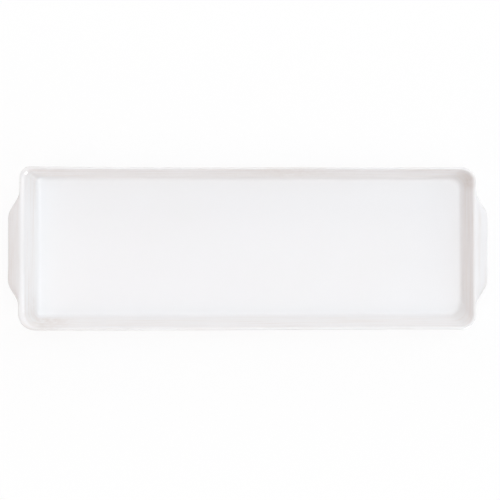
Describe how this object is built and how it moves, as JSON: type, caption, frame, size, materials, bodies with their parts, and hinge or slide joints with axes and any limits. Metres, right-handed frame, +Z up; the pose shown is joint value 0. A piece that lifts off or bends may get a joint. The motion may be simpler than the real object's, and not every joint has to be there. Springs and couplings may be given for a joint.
{
  "type": "serving tray",
  "caption": "Long rectangular serving tray in white glazed ceramic, with a low rounded wall, a lug handle on each end and an unglazed foot ring.",
  "frame": {"origin": "centre of the plane that the foot ring stands on", "axes": "+X along the tray from the left handle to the right handle, +Y across it towards the back, +Z up out of the well"},
  "size_m": [0.4, 0.135, 0.026],
  "materials": {
    "glaze": "glossy white glaze over fired clay",
    "bare_clay": "unglazed fired clay, fine and matte"
  },
  "bodies": {
    "root": {"base_slab": "glaze", "side_wall": "glaze", "left_handle": "glaze", "right_handle": "glaze", "foot_ring": "bare_clay"}
  },
  "joints": []
}
